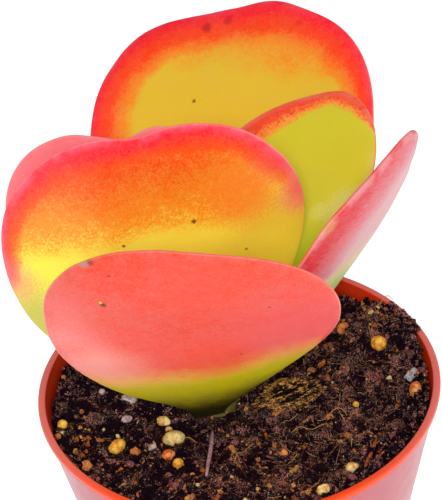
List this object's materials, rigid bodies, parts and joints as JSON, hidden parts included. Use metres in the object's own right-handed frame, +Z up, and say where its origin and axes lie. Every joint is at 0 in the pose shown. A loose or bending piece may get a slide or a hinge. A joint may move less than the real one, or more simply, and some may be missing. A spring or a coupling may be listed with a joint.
{
  "type": "potted kalanchoe",
  "caption": "Paddle-leaved succulent with broad fleshy upright leaves on a short stem, planted in soil in a tapered round plastic nursery pot.",
  "frame": {"origin": "middle of the pot's underside, on the surface that it stands on", "axes": "+Z up, along the pot's axis; +X to the right and +Y to the back, away from the front leaf"},
  "size_m": [0.1248, 0.1487, 0.1887],
  "materials": {
    "pot_plastic": "satin terracotta-coloured moulded plastic",
    "soil": "damp dark peat with fibres",
    "stem": "matt green-brown stem skin",
    "leaf_coral": "waxy underside with a whitish bloom",
    "leaf_sunset": "waxy upper face, yellow to red",
    "leaf_lime": "waxy upper face, yellow-green",
    "pellet": "dull, grainy",
    "bark": "rough fibrous bark",
    "chip": "pale grey flake",
    "twig": "dry twig"
  },
  "bodies": {
    "root": {"pot": "pot_plastic", "soil": "soil", "stem": "stem", "leaf_front": "leaf_coral", "leaf_left": "leaf_sunset", "leaf_back": "leaf_sunset", "leaf_right_back": "leaf_lime", "leaf_right": "leaf_coral", "leaf_far_left": "leaf_coral", "leaf_young_back": "leaf_lime", "leaf_young_front": "leaf_lime", "bark_lump": "bark", "chip": "chip", "twig_mauve": "twig", "twig_orange": "twig", "pellet_01": "pellet", "pellet_02": "pellet", "pellet_03": "pellet", "pellet_04": "pellet", "pellet_05": "pellet", "pellet_06": "pellet", "pellet_07": "pellet", "pellet_08": "pellet", "pellet_09": "pellet", "pellet_10": "pellet", "pellet_11": "pellet", "pellet_12": "pellet", "pellet_13": "pellet", "pellet_14": "pellet", "pellet_15": "pellet", "pellet_16": "pellet", "pellet_17": "pellet", "pellet_18": "pellet", "pellet_19": "pellet", "pellet_20": "pellet", "pellet_21": "pellet", "pellet_22": "pellet"}
  },
  "joints": []
}
